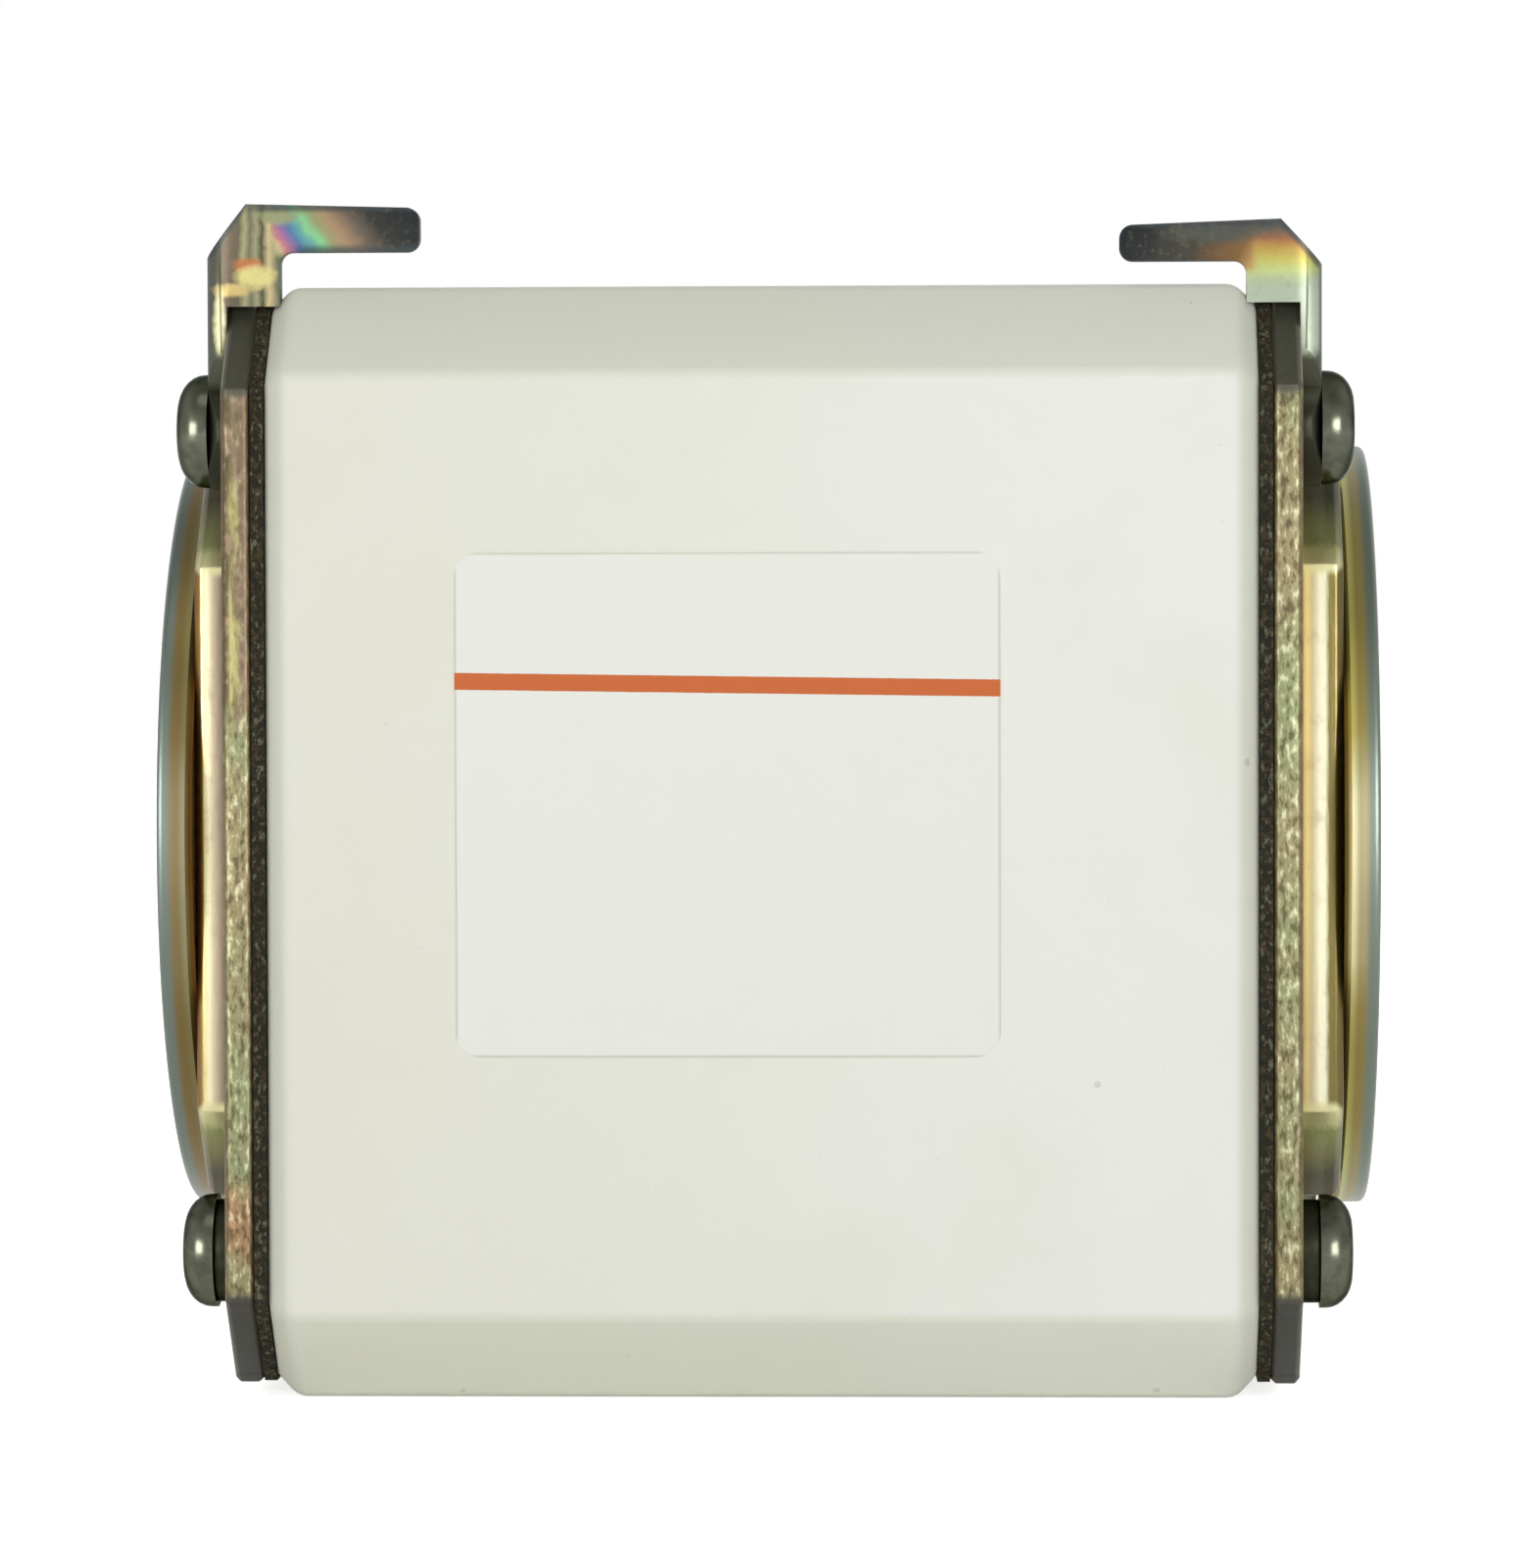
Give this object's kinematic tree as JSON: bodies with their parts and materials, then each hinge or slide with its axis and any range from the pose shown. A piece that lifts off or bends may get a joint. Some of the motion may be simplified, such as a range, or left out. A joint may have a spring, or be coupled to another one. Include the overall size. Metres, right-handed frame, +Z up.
{
  "type": "square-body fuse",
  "caption": "Square ceramic fuse with a flush round screw contact at each end, corner-screwed end plates and hooked lugs for a microswitch.",
  "frame": {"origin": "middle of the body's underside", "axes": "+X along the fuse's long axis from the left to the right contact, +Z up towards the lugs, and -Y out of the face with the label"},
  "size_m": [0.0834, 0.0752, 0.0806],
  "materials": {
    "ceramic": "matte unglazed, cream white",
    "label": "satin film with an orange stripe",
    "quartz_sand": "rough grains",
    "gasket_fibre": "matte black",
    "passivated_steel": "yellow passivated, with rainbow colours",
    "contact_brass": "turned and burnished",
    "carrier_copper": "plain copper",
    "dark_steel": "dark, smooth",
    "element_silver": "soft silver sheet"
  },
  "bodies": {
    "root": {"ceramic_body": "ceramic", "label": "label", "sand_filling": "quartz_sand", "gasket_left": "gasket_fibre", "gasket_right": "gasket_fibre", "end_plate_left": "passivated_steel", "end_plate_right": "passivated_steel", "contact_base_left": "contact_brass", "contact_base_right": "contact_brass", "contact_disc_left": "contact_brass", "contact_disc_right": "contact_brass", "element_carrier_left": "carrier_copper", "element_carrier_right": "carrier_copper", "end_screws_left": "dark_steel", "end_screws_right": "dark_steel", "lock_washers_left": "dark_steel", "lock_washers_right": "dark_steel", "switch_lug_left": "passivated_steel", "switch_lug_right": "passivated_steel", "fuse_element_1": "element_silver", "fuse_element_2": "element_silver", "fuse_element_3": "element_silver", "fuse_element_4": "element_silver", "fuse_element_5": "element_silver"}
  },
  "joints": []
}
